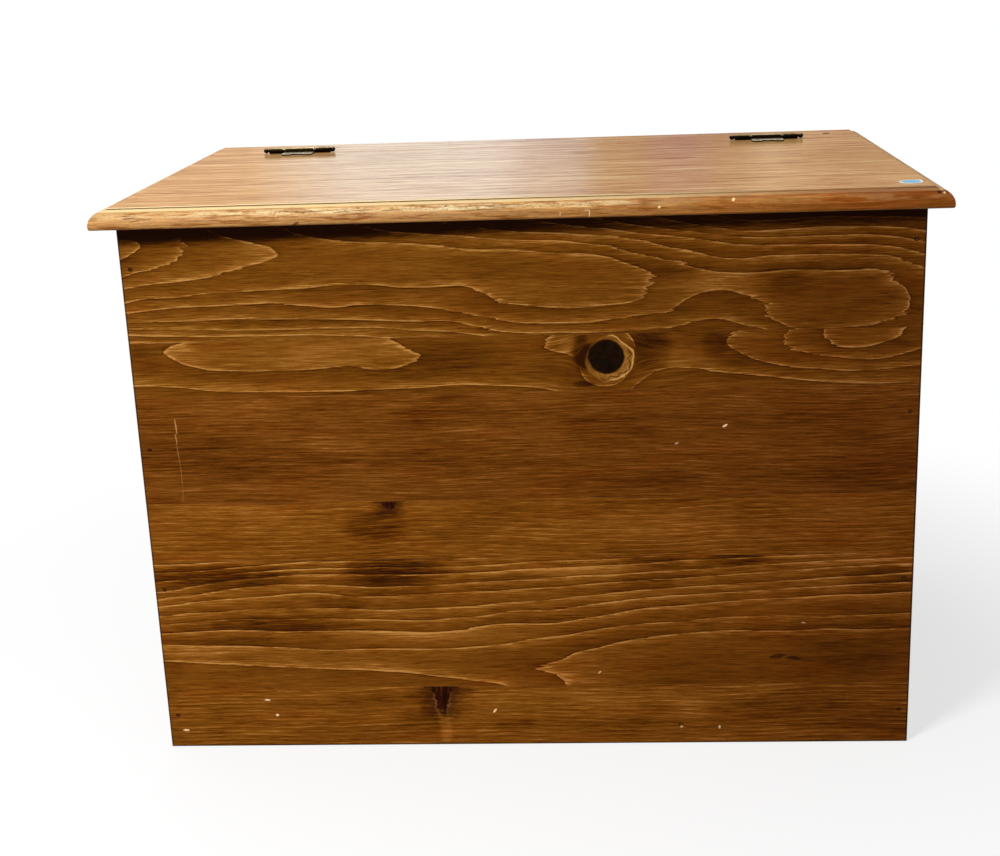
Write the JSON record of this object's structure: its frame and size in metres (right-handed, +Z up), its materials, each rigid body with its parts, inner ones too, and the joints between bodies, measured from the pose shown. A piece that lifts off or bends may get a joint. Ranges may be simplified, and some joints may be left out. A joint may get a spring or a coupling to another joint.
{
  "type": "blanket chest",
  "caption": "Pine blanket chest: a plain nailed box of edge-glued boards whose moulded lid lifts on ball-tip hinges from a fixed rear rail.",
  "frame": {"origin": "on the floor under the middle of the chest's outline, the lid's overhang included", "axes": "+Z up, +X to the right when the front is faced, +Y from the front to the back; the front faces -Y"},
  "size_m": [0.802, 0.477, 0.5777],
  "materials": {
    "stained_pine_front": "amber-brown stained pine under a satin varnish, grain level",
    "stained_pine_sides": "amber-brown stained pine under a satin varnish, grain level",
    "stained_pine_back": "amber-brown stained pine, thinner finish than the front",
    "stained_pine_top": "amber-brown stained pine under a glossier varnish, worn lighter along the moulding",
    "stained_pine_battens": "thinly stained pine",
    "bare_pine_cleats": "bare pine",
    "plywood": "bare softwood plywood",
    "dark_bronze": "dark antique bronze, rubbed on the edges",
    "bronzed_screws": "dark bronzed screw heads",
    "steel_screws": "zinc-plated steel",
    "nail_steel": "dull dark steel, set below the surface"
  },
  "bodies": {
    "carcass": {"back_board_1": "stained_pine_back", "back_board_2": "stained_pine_back", "back_board_3": "stained_pine_back", "back_board_4": "stained_pine_back", "back_board_5": "stained_pine_back", "back_cleat": "bare_pine_cleats", "back_nails": "nail_steel", "bottom_panel": "plywood", "front_board_1": "stained_pine_front", "front_board_2": "stained_pine_front", "front_board_3": "stained_pine_front", "front_board_4": "stained_pine_front", "front_board_5": "stained_pine_front", "front_board_6": "stained_pine_front", "front_cleat": "bare_pine_cleats", "front_nails": "nail_steel", "hinge_pins": "dark_bronze", "left_cleat": "bare_pine_cleats", "left_hinge_rail_leaf": "dark_bronze", "left_side_board_1": "stained_pine_sides", "left_side_board_2": "stained_pine_sides", "left_side_board_3": "stained_pine_sides", "left_side_board_4": "stained_pine_sides", "left_side_board_5": "stained_pine_sides", "rail_leaf_screws": "bronzed_screws", "rail_nails": "nail_steel", "rear_rail": "stained_pine_top", "right_cleat": "bare_pine_cleats", "right_hinge_rail_leaf": "dark_bronze", "right_side_board_1": "stained_pine_sides", "right_side_board_2": "stained_pine_sides", "right_side_board_3": "stained_pine_sides", "right_side_board_4": "stained_pine_sides", "right_side_board_5": "stained_pine_sides"},
    "lid": {"batten_screws": "steel_screws", "left_hinge_lid_leaf": "dark_bronze", "left_lid_batten": "stained_pine_battens", "lid_board_1": "stained_pine_top", "lid_board_2": "stained_pine_top", "lid_board_3": "stained_pine_top", "lid_board_4": "stained_pine_top", "lid_leaf_screws": "bronzed_screws", "right_hinge_lid_leaf": "dark_bronze", "right_lid_batten": "stained_pine_battens"}
  },
  "joints": [
    {"name": "lid_hinge", "type": "hinge", "parent": "carcass", "child": "lid", "pos_m": [0, 0.1635, 0.5745], "axis": [-1, 0, 0], "range_deg": [0, 101]}
  ]
}
